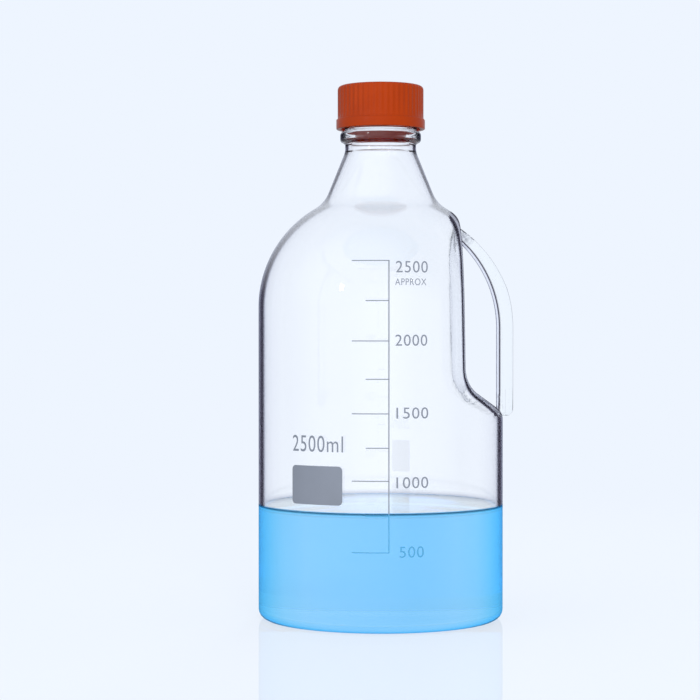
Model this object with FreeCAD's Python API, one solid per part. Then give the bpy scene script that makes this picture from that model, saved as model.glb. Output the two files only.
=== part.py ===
import FreeCAD, Part
import math
import os

Vector = FreeCAD.Vector

# Laboratory bottle with a hand recess and a glass handle, in millimetres.
# The origin is the centre of the circle that it stands on. +Z is up.
# The recess and the handle are at +X. The printed scale faces -Y.

# Blown body
body_radius = 69.0
body_wall = 3.0
corner_height = 211.4            # sharp corner that wall and shoulder would make
shoulder_radius = 64.5
shoulder_slope = 58.4            # degrees from the vertical
cone_foot_radius = 31.65          # sharp corner that shoulder and neck cone would make
cone_foot_fillet = 17.7
cone_slope = 22.05               # degrees from the vertical
heel_radius = 9.0
floor_thickness = 5.6
punt_height = 4.0
standing_ring_width = 5.0

# Neck and its finish
neck_radius = 20.0
bore_radius = 15.0
neck_root_fillet = 10.0
neck_length = 4.4                # from the cone to the bead
bead_radius = 22.8
bead_height = 7.5
bead_slope_rise = 1.2
bead_round = 2.1
bead_foot_round = 1.5
finish_foot_round = 1.0
finish_radius = 20.4
finish_height = 20.8             # from the bead to the lip
lip_outer_round = 2.0
lip_inner_round = 1.0

# Screw thread that neck and cap share
thread_pitch = 4.0
neck_ridge_crest = 22.1
neck_ridge_base_width = 2.6
neck_ridge_crest_width = 1.2
neck_ridge_drop = 9.6            # from the lip to the start of the ridge
neck_ridge_turns = 1.6
thread_fade = 40.0               # degrees over which each end of a ridge fades out
thread_play = 0.35               # along the axis, on the side that carries the load
thread_root_sink = 0.8           # how far a ridge's foot runs into the wall that carries it
thread_step = 18.0               # degrees between the sections of a ridge

# Hand recess, a flat floor sunk into the side of the body
recess_depth = 23.1
recess_lean = 1.0                # degrees that the floor leans in towards the top
recess_lip_height = 116.3
recess_corner_rise = 16.2        # from the lip to the floor's sharp corner
recess_corner_fillet = 17.7
recess_side_fillet = 28.0
recess_top_fillet = 9.0
recess_lip_fillet = 7.0

# Glass handle, a bar bridged across the recess
handle_stand_out = 5.6           # beyond the body
handle_thickness = 9.0
handle_width = 13.0
handle_bend_radius = 75.0        # outer side of the bend
handle_bend_drop = 47.7          # from the wall's sharp corner to the start of the bend
handle_bend_angle = 56.0
handle_foot_drop = 2.0           # below the recess lip
handle_foot_round = 4.0
handle_outer_round = 1.5
handle_inner_round = 3.0

# Liquid
liquid_level = 64.7

# Pouring ring, pushed into the bore
ring_wall = 1.7
ring_fit = 0.05
ring_depth = 8.0
ring_flange_radius = 19.7
ring_flange_thickness = 1.2
ring_edge_thickness = 0.5
ring_foot_round = 0.4
ring_edge_round = 0.2

# Sealing disc under the cap's roof
seal_thickness = 1.45
seal_radius = 20.8
seal_edge_round = 0.3
seal_fit = 0.05

# Screw cap
cap_bore_radius = 22.45
cap_ridge_crest = 21.0
cap_ridge_base_width = 1.5
cap_ridge_crest_width = 0.7
cap_ridge_start = -60.0          # degrees, against the start of the neck's ridge
cap_ridge_turns = 1.55
cap_wall = 1.8                   # from the bore to the crest of the ribs
cap_roof = 1.7
cap_top_round = 2.2
cap_edge_gap = 0.8               # between cap and bead
rib_count = 36
rib_groove_depth = 0.6
rib_groove_radius = 0.9
band_stand_out = 0.8
band_height = 5.6
band_round = 0.4
seal_bead_height = 0.6
seal_bead_drop = 0.15            # below the sealing disc
seal_bead_overlap = 0.4
seal_bead_round = 0.2

# Enamel print on the front of the body
enamel_lift = 0.02
enamel_thickness = 0.06
line_width = 0.8
scale_line_x = 4.5
long_mark = 19.1
short_mark = 11.7
first_mark_ml = 500
mark_step_ml = 250
mark_count = 9
field_angle = -30.1              # degrees round from the front
field_width = 31.5               # along the surface
field_height = 21.2
field_bottom = 68.7
field_corner = 1.6

# Worked out from the sizes above
slope = math.radians(shoulder_slope)
cone = math.radians(cone_slope)
cone_foot_height = corner_height + (body_radius - cone_foot_radius) / math.tan(slope)
neck_base = cone_foot_height + (cone_foot_radius - neck_radius) / math.tan(cone)
bead_bottom = neck_base + neck_length
bead_top = bead_bottom + bead_height
lip_height = bead_top + finish_height
ring_top = lip_height + ring_flange_thickness
seal_bottom = ring_top + seal_fit
seal_top = seal_bottom + seal_thickness
cap_ceiling = seal_top + seal_fit
cap_top = cap_ceiling + cap_roof
cap_bottom = bead_top + cap_edge_gap
band_top = cap_bottom + band_height
rib_radius = cap_bore_radius + cap_wall
recess_floor_x = body_radius - recess_depth
recess_corner_height = recess_lip_height + recess_corner_rise
handle_outer_x = body_radius + handle_stand_out
handle_bend_height = corner_height - handle_bend_drop
neck_ridge_bottom = lip_height - neck_ridge_drop
neck_turn = neck_root_fillet * math.tan(cone / 2)
neck_join = (neck_base + neck_turn + bead_bottom - bead_foot_round) / 2
inside_seal = cap_bore_radius + seal_bead_round
far = 3 * body_radius            # reach of the cutting blocks, past everything
past = 1.0                       # how far a cut runs past the face that it opens
seam = 0.5                       # nearer than this to Y = 0, a point is on the halves' seam


def crossing(point, direction, other_point, other_direction):
    """Where two lines in the (radius, height) plane cross."""
    turn = direction[0] * other_direction[1] - direction[1] * other_direction[0]
    dx = other_point[0] - point[0]
    dz = other_point[1] - point[1]
    along = (dx * other_direction[1] - dz * other_direction[0]) / turn
    return (point[0] + along * direction[0], point[1] + along * direction[1])


def outline(points, radii):
    """Edges through (x, z) points, with a tangent arc at each corner that has a radius."""
    corners = [Vector(x, 0, z) for x, z in points]
    edges = []
    start = corners[0]
    for before, corner, after, radius in zip(corners, corners[1:], corners[2:], radii):
        if radius > 0:
            back = (before - corner).normalize()
            ahead = (after - corner).normalize()
            half_angle = back.getAngle(ahead) / 2
            setback = radius / math.tan(half_angle)
            centre = corner + (back + ahead).normalize() * (radius / math.sin(half_angle))
            middle = centre - (back + ahead).normalize() * radius
            arc_start = corner + back * setback
            arc_end = corner + ahead * setback
            if (arc_start - start).Length > 1e-6:
                edges.append(Part.makeLine(start, arc_start))
            edges.append(Part.Arc(arc_start, middle, arc_end).toShape())
            start = arc_end
        else:
            edges.append(Part.makeLine(start, corner))
            start = corner
    edges.append(Part.makeLine(start, corners[-1]))
    return edges


def section(points, radii):
    """A closed face in the XZ plane. The first and last points are sharp corners."""
    edges = outline(points, radii)
    first, last = [Vector(points[end][0], 0, points[end][1]) for end in (0, -1)]
    edges.append(Part.makeLine(last, first))
    return Part.Face(Part.Wire(edges))


def turned(face, angle=360.0):
    return face.revolve(Vector(0, 0, 0), Vector(0, 0, 1), angle)


def side_corners(inset, throat):
    """Sharp corners of the side, moved inwards by inset: shoulder, foot of the cone, neck."""
    radius = body_radius - inset
    flank = (-math.sin(slope), math.cos(slope))
    rise = (-math.sin(cone), math.cos(cone))
    flank_point = (
        cone_foot_radius - inset * math.cos(slope),
        cone_foot_height - inset * math.sin(slope),
    )
    cone_point = (
        neck_radius - inset * math.cos(cone),
        neck_base - inset * math.sin(cone),
    )
    shoulder = crossing((radius, 0), (0, 1), flank_point, flank)
    foot = crossing(flank_point, flank, cone_point, rise)
    neck = crossing(cone_point, rise, (throat, 0), (0, 1))
    return [shoulder, foot, neck]


def side_radii(inset):
    return [shoulder_radius - inset, cone_foot_fillet + inset, neck_root_fillet]


def body_section(inset, base, dome, heel, throat, top):
    """Half section of the body, moved inwards by inset, from its base up into the neck."""
    radius = body_radius - inset
    dome_edge = radius - heel - standing_ring_width
    sag = 0.75                       # an arc's height a half of the way out, as a share of its rise
    dome_middle = Vector(dome_edge / 2, 0, base + dome * sag)
    arc = Part.Arc(Vector(0, 0, base + dome), dome_middle, Vector(dome_edge, 0, base)).toShape()
    points = [(dome_edge, base), (radius, base)] + side_corners(inset, throat) + [(throat, top), (0, top)]
    edges = [arc] + outline(points, [heel] + side_radii(inset) + [0])
    edges.append(Part.makeLine(Vector(0, 0, top), Vector(0, 0, base + dome)))
    return Part.Face(Part.Wire(edges))


def recess_block(inset):
    """What the hand recess takes away on the +Y side, grown inwards by inset."""
    lean = math.radians(recess_lean)
    fall = math.atan2(recess_corner_rise, recess_depth)
    up = (-math.sin(lean), math.cos(lean))
    out = (math.cos(fall), -math.sin(fall))
    floor_point = (recess_floor_x - inset * math.cos(lean), recess_corner_height - inset * math.sin(lean))
    slope_point = (recess_floor_x - inset * math.sin(fall), recess_corner_height - inset * math.cos(fall))
    corner = crossing(floor_point, up, slope_point, out)
    top = (corner[0] + far * up[0], corner[1] + far * up[1])
    end = (corner[0] + far * out[0], corner[1] + far * out[1])
    points = [top, corner, end, (2 * far, end[1]), (2 * far, top[1])]
    face = section(points, [recess_corner_fillet + inset, 0, 0])
    block = face.extrude(Vector(0, far, 0))
    block.translate(Vector(0, -past, 0))
    return block


def softened_rim(half, plain, block, inset):
    """The half body with the rim of its recess rounded, widest on the sides."""
    chosen = []
    for number, edge in enumerate(half.Edges, 1):
        middle = edge.valueAt((edge.FirstParameter + edge.LastParameter) / 2)
        if middle.y < seam:
            continue
        spot = Part.Vertex(middle)
        on_body = plain.Shells[0].distToShape(spot)[0] < 1e-4
        on_block = block.Shells[0].distToShape(spot)[0] < 1e-4
        if on_body and on_block:
            chosen.append((number, edge))
    document = FreeCAD.newDocument("rim")
    base = document.addObject("Part::Feature", "half")
    base.Shape = half
    fillet = document.addObject("Part::Fillet", "rim")
    fillet.Base = base
    rows = []
    for number, edge in chosen:
        ends = []
        for parameter in (edge.FirstParameter, edge.LastParameter):
            point = edge.valueAt(parameter)
            if point.y > seam:
                ends.append(recess_side_fillet - inset)
            elif point.z > corner_height:
                ends.append(recess_top_fillet - inset / 2)
            else:
                ends.append(recess_lip_fillet - inset / 2)
        rows.append((number, ends[0], ends[1]))
    fillet.Edges = rows
    document.recompute()
    result = fillet.Shape.copy()
    FreeCAD.closeDocument(document.Name)
    return result


def blown_form(inset, base, dome, heel, throat, top):
    """The whole body as a solid form, with the hand recess pressed into it."""
    plain = turned(body_section(inset, base, dome, heel, throat, top), 180.0)
    block = recess_block(inset)
    half = softened_rim(plain.cut(block), plain, block, inset)
    other = half.mirror(Vector(0, 0, 0), Vector(0, 1, 0))
    return half.fuse(other).removeSplitter()


def outer_form():
    return blown_form(0, 0, punt_height, heel_radius, neck_radius, neck_join)


def cavity_form():
    return blown_form(body_wall, floor_thickness, punt_height, heel_radius, bore_radius, lip_height + past)


def thread_ridge(root, crest, base_width, crest_width, start, turns, height):
    """A helical ridge whose crest rises out of the root surface and fades at both ends."""
    sink = math.copysign(thread_root_sink, root - crest)
    hidden = 0.15                    # share of its height by which a ridge's end lies under the root
    narrowing = (crest_width - base_width) / (crest - root)
    span = turns * 360.0
    steps = int(span / thread_step)
    wires = []
    for step in range(steps + 1):
        angle = span * step / steps
        fade = min(1.0, angle / thread_fade, (span - angle) / thread_fade)
        grown = (1 + hidden) * math.sin(fade * math.pi / 2) - hidden
        tip = root + (crest - root) * grown
        middle = height + thread_pitch * angle / 360
        tip_width = base_width + narrowing * (tip - root)
        sunk_width = base_width + narrowing * sink
        ring = [
            (root + sink, middle - sunk_width / 2),
            (tip, middle - tip_width / 2),
            (tip, middle + tip_width / 2),
            (root + sink, middle + sunk_width / 2),
        ]
        corners = [Vector(radius, 0, level) for radius, level in ring]
        wire = Part.makePolygon(corners + corners[:1])
        wire.rotate(Vector(0, 0, 0), Vector(0, 0, 1), start + angle)
        wires.append(wire)
    return Part.makeLoft(wires, True, False)


def neck_finish():
    """Neck from the join up: bead, threaded finish and lip, solid to the axis."""
    points = [
        (0, neck_join),
        (neck_radius, neck_join),
        (neck_radius, bead_bottom),
        (bead_radius, bead_bottom + bead_slope_rise),
        (bead_radius, bead_top - bead_slope_rise),
        (finish_radius, bead_top),
        (finish_radius, lip_height),
        (0, lip_height),
    ]
    radii = [0, bead_foot_round, bead_round, bead_round, finish_foot_round, lip_outer_round]
    profile = section(points, radii)
    ridge = thread_ridge(
        finish_radius,
        neck_ridge_crest,
        neck_ridge_base_width,
        neck_ridge_crest_width,
        0,
        neck_ridge_turns,
        neck_ridge_bottom,
    )
    return turned(profile).fuse(ridge)


def handle_bar():
    """The handle: a straight bar, then a bend into the shoulder, with rounded edges."""
    outer = handle_outer_x
    inner = outer - handle_thickness
    foot = recess_lip_height - handle_foot_drop
    bend_centre = Vector(outer - handle_bend_radius, 0, handle_bend_height)

    def on_bend(radius, degrees):
        angle = math.radians(degrees)
        return bend_centre + Vector(radius * math.cos(angle), 0, radius * math.sin(angle))

    inner_bend = handle_bend_radius - handle_thickness
    half = handle_bend_angle / 2
    foot_edges = outline(
        [(inner, handle_bend_height), (inner, foot), (outer, foot), (outer, handle_bend_height)],
        [0, handle_foot_round],
    )
    outer_arc = Part.Arc(
        on_bend(handle_bend_radius, 0),
        on_bend(handle_bend_radius, half),
        on_bend(handle_bend_radius, handle_bend_angle),
    ).toShape()
    end = Part.makeLine(on_bend(handle_bend_radius, handle_bend_angle), on_bend(inner_bend, handle_bend_angle))
    inner_arc = Part.Arc(
        on_bend(inner_bend, handle_bend_angle),
        on_bend(inner_bend, half),
        on_bend(inner_bend, 0),
    ).toShape()
    face = Part.Face(Part.Wire(foot_edges + [outer_arc, end, inner_arc]))
    bar = face.extrude(Vector(0, handle_width, 0))
    bar.translate(Vector(0, -handle_width / 2, 0))

    def long_edges(solid, wanted_inner):
        """Edges that run along the bar on its inner or its outer side."""
        found = []
        for edge in solid.Edges:
            middle = edge.valueAt((edge.FirstParameter + edge.LastParameter) / 2)
            if abs(abs(middle.y) - handle_width / 2) > 1e-6:
                continue
            reach = middle.x
            if middle.z > handle_bend_height:
                reach = bend_centre.x + math.hypot(middle.x - bend_centre.x, middle.z - bend_centre.z)
            across = abs(reach - (outer - handle_thickness / 2)) < 1e-3
            if across and middle.z > handle_bend_height:
                continue
            is_inner = reach < outer - handle_thickness / 2 and middle.z > foot + seam
            if is_inner == wanted_inner:
                found.append(edge)
        return found

    bar = bar.makeFillet(handle_outer_round, long_edges(bar, False))
    return bar.makeFillet(handle_inner_round, long_edges(bar, True))


def make_bottle(cavity):
    glass = outer_form().fuse([neck_finish(), handle_bar()]).cut(cavity).removeSplitter()
    mouth = []
    for edge in glass.Edges:
        box = edge.BoundBox
        at_lip = abs(box.ZMin - lip_height) < 1e-4 and abs(box.ZMax - lip_height) < 1e-4
        if at_lip and abs(box.XMax - bore_radius) < 1e-3:
            mouth.append(edge)
    return glass.makeFillet(lip_inner_round, mouth)


def make_liquid(cavity):
    below = Part.makeBox(2 * far, 2 * far, liquid_level, Vector(-far, -far, 0))
    return cavity.common(below)


def make_pouring_ring():
    outer = bore_radius - ring_fit
    inner = outer - ring_wall
    points = [
        (inner, lip_height - ring_depth),
        (outer, lip_height - ring_depth),
        (outer, lip_height),
        (ring_flange_radius, lip_height),
        (ring_flange_radius, lip_height + ring_edge_thickness),
        (ring_flange_radius - 2 * ring_edge_thickness, ring_top),
        (inner, ring_top),
    ]
    return turned(section(points, [ring_foot_round, 0, 0, ring_edge_round, 0]))


def make_seal_disc():
    points = [(0, seal_bottom), (seal_radius, seal_bottom), (seal_radius, seal_top), (0, seal_top)]
    return turned(section(points, [seal_edge_round, seal_edge_round]))


def make_cap():
    band_radius = rib_radius + band_stand_out
    shell_points = [
        (cap_bore_radius, cap_bottom),
        (band_radius, cap_bottom),
        (band_radius, band_top),
        (rib_radius, band_top),
        (rib_radius, cap_top),
        (0, cap_top),
        (0, cap_ceiling),
        (cap_bore_radius, cap_ceiling),
    ]
    shell = turned(section(shell_points, [band_round, band_round, 0, cap_top_round, 0, 0]))
    cutter = Part.makeCylinder(
        rib_groove_radius,
        cap_top - band_top + past,
        Vector(rib_radius - rib_groove_depth + rib_groove_radius, 0, band_top),
    )
    cutters = []
    for number in range(rib_count):
        groove = cutter.copy()
        groove.rotate(Vector(0, 0, 0), Vector(0, 0, 1), 360.0 * (number + 0.5) / rib_count)
        cutters.append(groove)
    shell = shell.cut(Part.makeCompound(cutters))
    bead_low = seal_bottom - seal_bead_drop - seal_bead_height
    bead_high = bead_low + seal_bead_height
    bead_inside = seal_radius - seal_bead_overlap
    bead_points = [
        (inside_seal, bead_low),
        (bead_inside, bead_low),
        (bead_inside, bead_high),
        (inside_seal, bead_high),
    ]
    seal_bead = turned(section(bead_points, [seal_bead_round, seal_bead_round]))
    neck_depth = (neck_ridge_crest - cap_ridge_crest) / (neck_ridge_crest - finish_radius)
    neck_width = neck_ridge_crest_width + (neck_ridge_base_width - neck_ridge_crest_width) * neck_depth
    below_neck_ridge = (neck_width + cap_ridge_crest_width) / 2 + thread_play
    ridge = thread_ridge(
        cap_bore_radius,
        cap_ridge_crest,
        cap_ridge_base_width,
        cap_ridge_crest_width,
        cap_ridge_start,
        cap_ridge_turns,
        neck_ridge_bottom - below_neck_ridge + thread_pitch * cap_ridge_start / 360,
    )
    return shell.fuse([seal_bead, ridge])


def enamel_skin():
    """A thin skin over the front of the body, from which the print is cut."""
    start = -135.0
    span = 90.0
    edges = []
    ends = []
    for lift in (enamel_lift, enamel_lift + enamel_thickness):
        throat = neck_radius + lift
        points = [(body_radius + lift, heel_radius)] + side_corners(-lift, throat) + [(throat, bead_bottom)]
        edges += outline(points, side_radii(-lift))
        ends.append(points)
    for end in (0, -1):
        inside, outside = [Vector(points[end][0], 0, points[end][1]) for points in ends]
        edges.append(Part.makeLine(inside, outside))
    face = Part.Face(Part.Wire(Part.__sortEdges__(edges)))
    face.rotate(Vector(0, 0, 0), Vector(0, 0, 1), start)
    return turned(face, span)


def filling_height(cavity, volume):
    """The level up to which the cavity holds a volume in ml."""
    area = math.pi * (body_radius - body_wall) ** 2
    level = floor_thickness + punt_height + volume * 1000 / area
    for attempt in range(12):
        below = Part.makeBox(2 * far, 2 * far, level, Vector(-far, -far, 0))
        short = volume * 1000 - cavity.common(below).Volume
        level += short / area
        if abs(short) < 50:
            break
    return level


def make_scale_marks(skin, cavity):
    heights = [filling_height(cavity, first_mark_ml + mark_step_ml * number) for number in range(mark_count)]
    print("marks at", [round(height, 1) for height in heights])
    half = line_width / 2
    bottom = heights[0] - half
    tall = heights[-1] + half - bottom
    line = Part.makeBox(line_width, far, tall, Vector(scale_line_x - half, -far, bottom))
    blocks = []
    for number, height in enumerate(heights):
        length = long_mark
        if number % 2 == 1:
            length = short_mark
        corner = Vector(scale_line_x - length, -far, height - half)
        blocks.append(Part.makeBox(length, far, line_width, corner))
    return skin.common(line.fuse(blocks))


def make_writing_field(skin):
    half = math.degrees(field_width / body_radius) / 2
    left = body_radius * math.sin(math.radians(field_angle - half))
    right = body_radius * math.sin(math.radians(field_angle + half))
    low = field_bottom
    high = field_bottom + field_height
    middle = (left + right) / 2
    points = [(middle, low), (right, low), (right, high), (left, high), (left, low), (middle, low)]
    edges = outline(points, [field_corner] * 4)
    block = Part.Face(Part.Wire(edges)).extrude(Vector(0, -far, 0))
    return skin.common(block)


def build():
    os.makedirs("parts", exist_ok=True)
    cavity = cavity_form()
    skin = enamel_skin()
    nodes = {
        "bottle": make_bottle(cavity),
        "liquid": make_liquid(cavity),
        "pouring_ring": make_pouring_ring(),
        "seal_disc": make_seal_disc(),
        "cap": make_cap(),
        "scale_marks": make_scale_marks(skin, cavity),
        "writing_field": make_writing_field(skin),
    }
    for name, shape in nodes.items():
        solids = shape.Solids
        solid = solids[0]
        if len(solids) > 1:
            solid = Part.makeCompound(solids)
        solid.exportStep("parts/" + name + ".step")
        box = solid.BoundBox
        print(name, "solids", len(solids), "valid", solid.isValid(), "ml", round(solid.Volume / 1000, 2))
        print("   z", round(box.ZMin, 2), round(box.ZMax, 2), "x", round(box.XMin, 2), round(box.XMax, 2))


build()
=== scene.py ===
import bmesh
import bpy
import math
from mathutils import Matrix, Vector
from mathutils.geometry import intersect_line_line


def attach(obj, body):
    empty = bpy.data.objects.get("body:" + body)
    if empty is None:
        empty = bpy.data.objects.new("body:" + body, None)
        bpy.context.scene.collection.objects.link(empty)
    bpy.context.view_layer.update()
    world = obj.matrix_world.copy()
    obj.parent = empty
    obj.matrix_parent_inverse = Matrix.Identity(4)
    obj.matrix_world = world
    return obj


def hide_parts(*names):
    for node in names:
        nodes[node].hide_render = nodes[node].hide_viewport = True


# Laboratory bottle with a hand recess and a glass handle, dressed in metres.
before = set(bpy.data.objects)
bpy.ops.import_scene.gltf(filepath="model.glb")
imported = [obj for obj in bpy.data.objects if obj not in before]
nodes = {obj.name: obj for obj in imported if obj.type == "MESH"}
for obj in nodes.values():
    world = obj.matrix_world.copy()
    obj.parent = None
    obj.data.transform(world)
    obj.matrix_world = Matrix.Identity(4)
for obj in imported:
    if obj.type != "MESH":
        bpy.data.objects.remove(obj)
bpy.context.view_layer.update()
bpy.context.scene.view_settings.view_transform = "Standard"
print("frame loaded")


def addNode(owner, kind, place, inputs=None):
    # a shader node, whose inputs take constants or the sockets that feed them
    node = owner.node_tree.nodes.new("ShaderNode" + kind)
    node.location = place
    for name, value in (inputs or {}).items():
        if isinstance(value, bpy.types.NodeSocket):
            owner.node_tree.links.new(value, node.inputs[name])
        elif isinstance(name, int) or name in node.inputs:
            node.inputs[name].default_value = value
        else:
            setattr(node, name, value)
    return node


def mathNode(owner, place, operation, first, second=0.0):
    # a sum of two inputs, each a constant or a socket
    return addNode(owner, "Math", place, {"operation": operation, 0: first, 1: second}).outputs[0]


def rangeNode(owner, place, value, ends, newEnds=(0.0, 1.0), curve="LINEAR"):
    # a value between two ends carried over to two others
    inputs = {"interpolation_type": curve, "Value": value, "From Min": ends[0], "From Max": ends[1]}
    inputs.update({"To Min": newEnds[0], "To Max": newEnds[1]})
    return addNode(owner, "MapRange", place, inputs).outputs["Result"]


def rampNode(owner, place, factor, stops):
    # a colour ramp, which has its first two stops already
    ramp = addNode(owner, "ValToRGB", place, {"Fac": factor})
    elements = ramp.color_ramp.elements
    for number, (position, colour) in enumerate(stops):
        stop = elements[number] if number < 2 else elements.new(position)
        stop.position = position
        stop.color = (*colour, 1)
    return ramp.outputs["Color"]


def mixNode(owner, place, factor, first, second, blend="MIX"):
    # two colours mixed, or multiplied, by a factor
    inputs = {"data_type": "RGBA", "blend_type": blend, 0: factor, 6: first, 7: second}
    return addNode(owner, "Mix", place, inputs).outputs[2]


def emptyMaterial(name):
    # a material with no nodes yet
    material = bpy.data.materials.new(name)
    material.use_nodes = True
    material.node_tree.nodes.clear()
    return material


def meltBump(material, place):
    # Gentle waves everywhere, and a tangle where the handle was melted on. Gives the bumped
    # normal and painted shade: dark streaks in the glass's colour along the tangle's seams.
    size = outline
    waves = addNode(material, "TexNoise", (-1100, -700), {"Vector": place, **size["waves"]})
    tangle = addNode(material, "TexNoise", (-1100, -1200), {"Vector": place, **size["tangle"]})
    melted = None
    for column, point in enumerate(size["meltPoints"]):
        row = -900 - 200 * column
        gap = addNode(material, "VectorMath", (-1500, row), {"operation": "DISTANCE", 0: place, 1: point})
        near = rangeNode(material, (-1300, row), gap.outputs["Value"], size["meltReach"], (1.0, 0.0))
        melted = mathNode(material, (-1100, -900), "ADD", near, melted) if melted else near
    amount = mathNode(material, (-900, -1000), "MULTIPLY", melted, tangle.outputs["Fac"])
    # painted shade: dark streaks on the tangle's seams, standing in for light bent there
    seamShade = rampNode(material, (-900, -1300), tangle.outputs["Fac"], size["paintedSeamStops"])
    seamShadeMix = mixNode(material, (-600, -1200), melted, (1, 1, 1, 1), seamShade)
    wavy = {"Height": waves.outputs["Fac"], "Strength": size["waveStrength"], "Distance": size["waveDepth"]}
    first = addNode(material, "Bump", (-700, -600), wavy).outputs["Normal"]
    tangled = {"Height": amount, "Normal": first, "Strength": 1.0, "Distance": size["meltDepth"]}
    return addNode(material, "Bump", (-500, -800), tangled).outputs["Normal"], seamShadeMix


def outlineShare(material, height, normal, share, flatShare):
    # the cosine below which the glass gets its painted dark outline: wider on the neck, narrower on the
    # recess's flat floor
    if not flatShare:
        ends = (share, share * outline["neckShare"])
        return rangeNode(material, (-1300, -150), height, outline["neckHeights"], ends)
    parts = addNode(material, "SeparateXYZ", (-1700, -200), {"Vector": normal})
    sideways = mathNode(material, (-1500, -200), "ABSOLUTE", parts.outputs["Y"])
    return rangeNode(material, (-1300, -150), sideways, outline["flatTurn"], (flatShare, share))


def glassMaterial(
    name, clear, edge, share, tilted=None, flatShare=None, lineStops=None, lineBase=0, straightOut=False
):
    # Clear glass with painted shade: its colour goes dark where the surface is seen edge on, as
    # shade that a thick wall bends in. Lying faces may have a weaker one, and only the side that faces out
    # has any. A painted dark line may lie across it at the level, and light may leave it unbent.
    material = emptyMaterial(name)
    place = addNode(material, "TexCoord", (-1900, 0)).outputs["Object"]
    height = addNode(material, "SeparateXYZ", (-1500, 0), {"Vector": place}).outputs["Z"]
    shape = addNode(material, "NewGeometry", (-1500, -400))
    normal = shape.outputs["Normal"]
    bump, seamShade = meltBump(material, place)
    width = outlineShare(material, height, normal, share, flatShare)
    facing = addNode(material, "LayerWeight", (-1300, 200), {"Blend": 0.5, "Normal": bump})
    cosine = mathNode(material, (-1100, 200), "SUBTRACT", 1.0, facing.outputs["Facing"])
    turned = mathNode(material, (-920, 100), "DIVIDE", cosine, width)
    half = mathNode(material, (-760, 100), "MULTIPLY", turned, 0.5)
    # painted shade: the glass's colour darkens towards its edge-on outline
    dark = rampNode(material, (-600, 100), half, edge)
    front = mathNode(material, (-700, -300), "SUBTRACT", 1.0, shape.outputs["Backfacing"])
    strength = front
    if tilted is not None:
        tilt = addNode(material, "SeparateXYZ", (-1300, -400), {"Vector": normal})
        steep = mathNode(material, (-1100, -400), "ABSOLUTE", tilt.outputs["Z"])
        upright = rangeNode(material, (-900, -400), steep, outline["upright"], (1.0, tilted))
        strength = mathNode(material, (-500, -350), "MULTIPLY", upright, front)
    colour = mixNode(material, (-300, 100), strength, (*clear, 1), dark)
    # painted shade: a dark line across the glass at the liquid's level
    if lineStops:
        low = liquid["level"] + lineBase
        depth = rangeNode(material, (-600, 500), height, (low, low + liquid["lineDepth"]))
        line = rampNode(material, (-420, 500), depth, lineStops)
        colour = mixNode(material, (-100, 300), front, colour, line, "MULTIPLY")
    # painted shade of the melted seams, multiplied into the glass's colour
    colour = mixNode(material, (0, 100), 1.0, colour, seamShade, "MULTIPLY")
    glass = {"Color": colour, "Normal": bump, "Roughness": 0.0, "IOR": outline["bending"]}
    surface = addNode(material, "BsdfGlass", (100, 100), glass).outputs["BSDF"]
    if straightOut:
        straight = addNode(material, "BsdfGlass", (100, -200), {"Roughness": 0.0, "IOR": 1.0}).outputs["BSDF"]
        sides = {0: shape.outputs["Backfacing"], 1: surface, 2: straight}
        surface = addNode(material, "MixShader", (300, 0), sides).outputs["Shader"]
    addNode(material, "OutputMaterial", (500, 100), {"Surface": surface})
    return material


def meshObject(name, bm, materials):
    # an object at the origin from a bmesh, which is used up
    mesh = bpy.data.meshes.new(name)
    bm.to_mesh(mesh)
    bm.free()
    for material in materials:
        mesh.materials.append(material)
    piece = bpy.data.objects.new(name, mesh)
    bpy.context.collection.objects.link(piece)
    return piece


def shadeSmooth(piece, degrees=32):
    # smooth but for the edges that turn by more than an angle
    piece.data.shade_smooth()
    piece.data.set_sharp_from_angle(angle=math.radians(degrees))


def placePiece(piece, body, replaced=None):
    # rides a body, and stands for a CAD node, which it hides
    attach(piece, body)
    if replaced:
        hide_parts(replaced)


def drawRun(bm, tip, target, stepLength):
    # a straight chain of edges from a vertex to a point
    run = target - tip.co
    if run.length < 1e-7:
        return tip
    steps = max(1, round(run.length / stepLength))
    for step in range(steps):
        tip = bmesh.ops.extrude_vert_indiv(bm, verts=[tip])["verts"][0]
        tip.co += run / steps
    return tip


def roundedPath(bm, corners, rounds, stepLength, arcStep):
    # a chain in the XZ plane through corners, each rounded by its own radius
    points = [Vector((x, 0, z)) for x, z in corners]
    tip = bmesh.ops.create_vert(bm, co=points[0])["vert"][0]
    for before, corner, after, radius in zip(points, points[1:], points[2:], rounds):
        if radius == 0:
            tip = drawRun(bm, tip, corner, stepLength)
            continue
        back = (before - corner).normalized()
        ahead = (after - corner).normalized()
        halfAngle = back.angle(ahead) / 2
        tip = drawRun(bm, tip, corner + back * (radius / math.tan(halfAngle)), stepLength)
        centre = corner + (back + ahead).normalized() * (radius / math.sin(halfAngle))
        turn = math.copysign(math.pi - 2 * halfAngle, ahead.cross(back).y)
        steps = max(3, round(abs(turn) * radius / arcStep))
        made = bmesh.ops.spin(
            bm, geom=[tip], cent=centre, axis=(0, 1, 0), angle=turn, steps=steps,
            use_merge=False, use_duplicate=False)
        tip = [part for part in made["geom_last"] if isinstance(part, bmesh.types.BMVert)][0]
    return drawRun(bm, tip, points[-1], stepLength)


def spinAll(bm, steps):
    # the whole chain turned once round the bottle's axis
    bmesh.ops.spin(
        bm, geom=bm.verts[:] + bm.edges[:], cent=(0, 0, 0), axis=(0, 0, 1), angle=math.tau, steps=steps,
        use_merge=True, use_duplicate=False)
    bmesh.ops.remove_doubles(bm, verts=bm.verts[:], dist=2e-6)


def openSections(bm):
    # a spun solid loses its doubled points and the section faces buried in it
    bmesh.ops.remove_doubles(bm, verts=bm.verts[:], dist=1e-6)
    buried = [face for face in bm.faces if all(len(edge.link_faces) > 2 for edge in face.edges)]
    bmesh.ops.delete(bm, geom=buried, context="FACES_ONLY")


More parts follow.
